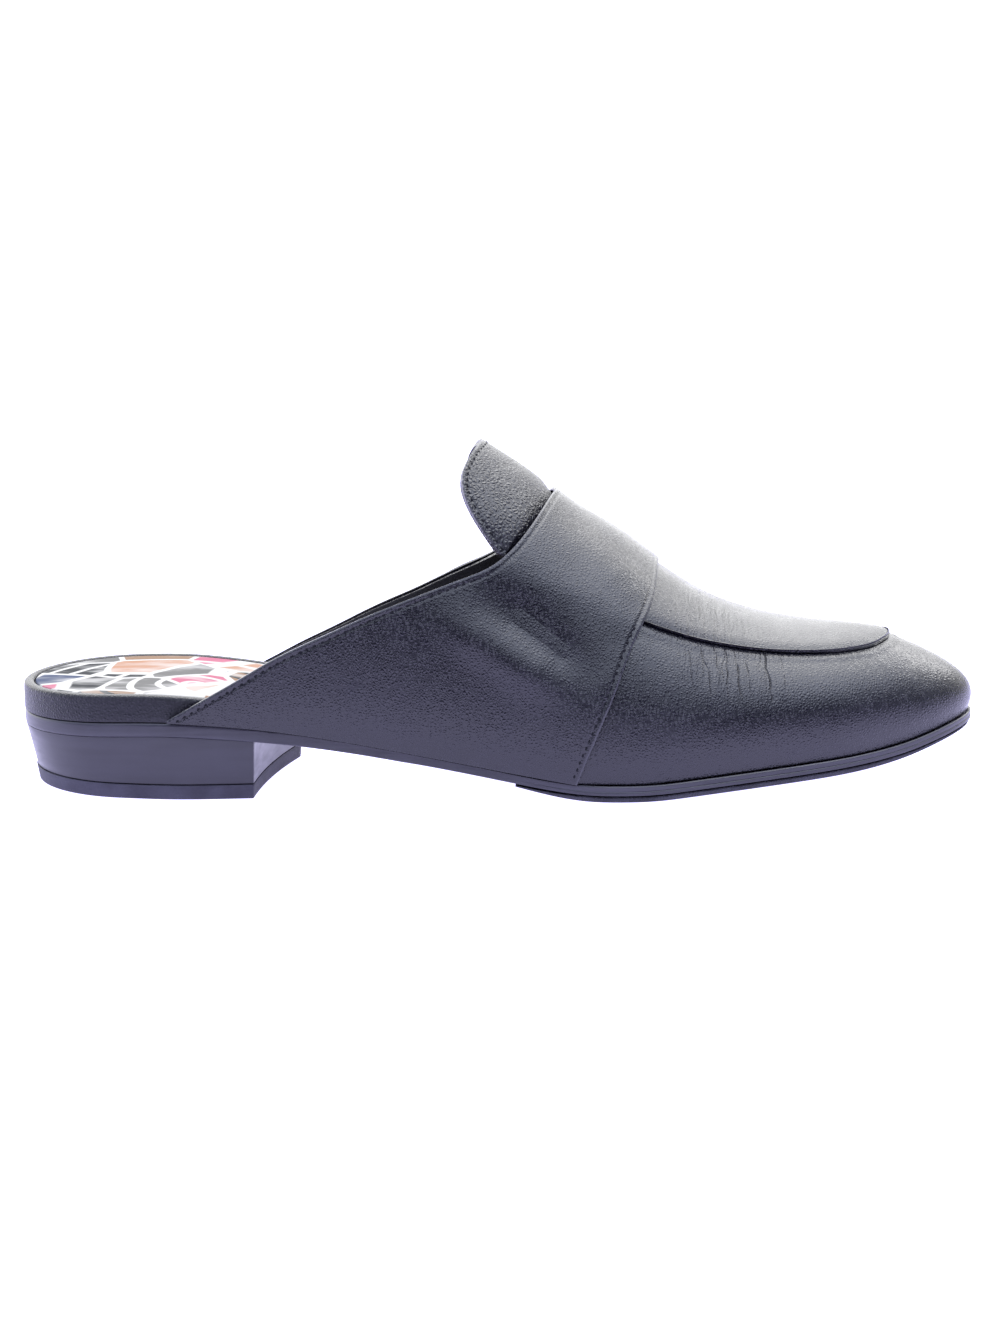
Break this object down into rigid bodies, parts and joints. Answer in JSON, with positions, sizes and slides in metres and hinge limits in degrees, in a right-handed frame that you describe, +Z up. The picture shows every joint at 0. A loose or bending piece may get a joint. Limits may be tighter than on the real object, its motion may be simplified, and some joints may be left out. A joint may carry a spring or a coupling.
{
  "type": "mule loafer",
  "caption": "Backless leather loafer with a low stacked heel, wrapped footbed, broad instep strap, raised apron and upright tongue; right foot.",
  "frame": {"origin": "middle of the shoe's box, on the floor", "axes": "+X towards the toe, +Y towards the inner side of the foot, +Z up"},
  "size_m": [0.2636, 0.0806, 0.0935],
  "materials": {
    "vamp_leather": "smooth black leather, fine grain, semi-gloss, soft flex creases",
    "saddle_leather": "smooth black leather, fine grain, semi-gloss, stitched edges",
    "apron_leather": "smooth black leather, fine grain, glossier on top",
    "tongue_leather": "black leather with a pebbly grain, stitched edge",
    "rand_leather": "black leather wrapped over the footbed's edge, satin",
    "sock_print": "pale printed lining in soft patches of pink, peach, tan and grey, matt",
    "sole_leather": "black edge-dressed sole, satin",
    "tread_rubber": "matt black rubber, finely ribbed edge",
    "heel_stack": "black stained stack with faint level lines, satin",
    "lift_rubber": "matt black rubber"
  },
  "bodies": {
    "root": {"upper": "vamp_leather", "saddle": "saddle_leather", "apron": "apron_leather", "tongue": "tongue_leather", "footbed": "rand_leather", "sock_lining": "sock_print", "outsole": "sole_leather", "forepart_tread": "tread_rubber", "heel_block": "heel_stack", "top_lift": "lift_rubber"}
  },
  "joints": []
}
